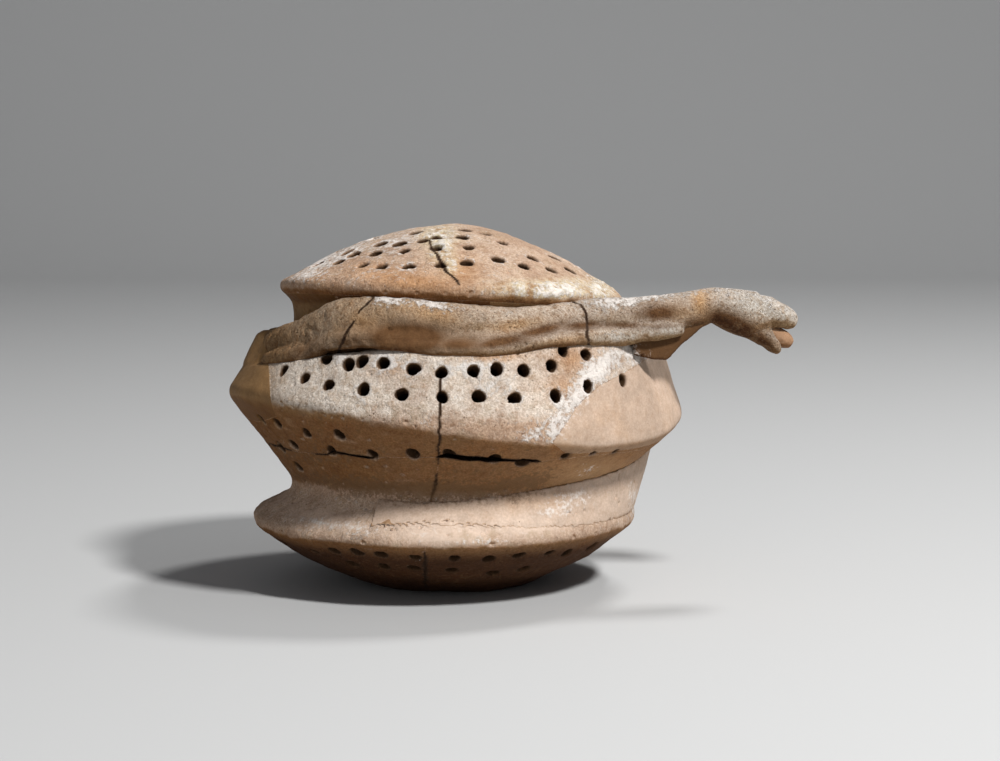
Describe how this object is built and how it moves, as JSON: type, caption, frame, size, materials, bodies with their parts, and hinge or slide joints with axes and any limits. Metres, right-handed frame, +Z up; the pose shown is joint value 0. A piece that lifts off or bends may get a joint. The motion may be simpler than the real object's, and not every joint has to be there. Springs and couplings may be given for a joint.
{
  "type": "ceramic cult vase",
  "caption": "Hand-built, perforated clay vessel of stacked keeled tiers, with a clay snake round its waist whose open-mouthed head stands free",
  "frame": {"origin": "the middle of the flat disc under the bowl, which the vessel rests on", "axes": "+X towards the snake's head, the longest way; +Z up, out of the rest disc; -Y towards the viewer"},
  "size_m": [0.1865, 0.15, 0.1192],
  "materials": {
    "fired_clay": "matt, unglazed, scraped",
    "snake_clay": "matt, unglazed, hand-rolled",
    "tongue_clay": "matt, unglazed",
    "ochre_plaster": "smooth, tinted plaster repair",
    "peach_plaster": "smooth, tinted plaster repair",
    "cream_plaster": "rough, pale plaster repair"
  },
  "bodies": {
    "root": {"dome_left_sherd": "fired_clay", "dome_right_sherd": "fired_clay", "collar_left_fill": "ochre_plaster", "collar_right_fill": "cream_plaster", "collar_front_sherd": "fired_clay", "collar_back_sherd": "fired_clay", "body_left_sherd": "fired_clay", "body_right_sherd": "fired_clay", "left_side_fill": "ochre_plaster", "right_side_fill": "peach_plaster", "groove_fill": "peach_plaster", "foot_left_sherd": "fired_clay", "foot_right_sherd": "fired_clay", "snake_tail": "snake_clay", "snake_left_segment": "snake_clay", "snake_front_segment": "snake_clay", "snake_neck": "snake_clay", "snake_head": "snake_clay", "snake_lower_jaw": "snake_clay", "snake_tongue": "tongue_clay", "waist_lip": "snake_clay", "neck_web": "ochre_plaster"}
  },
  "joints": []
}
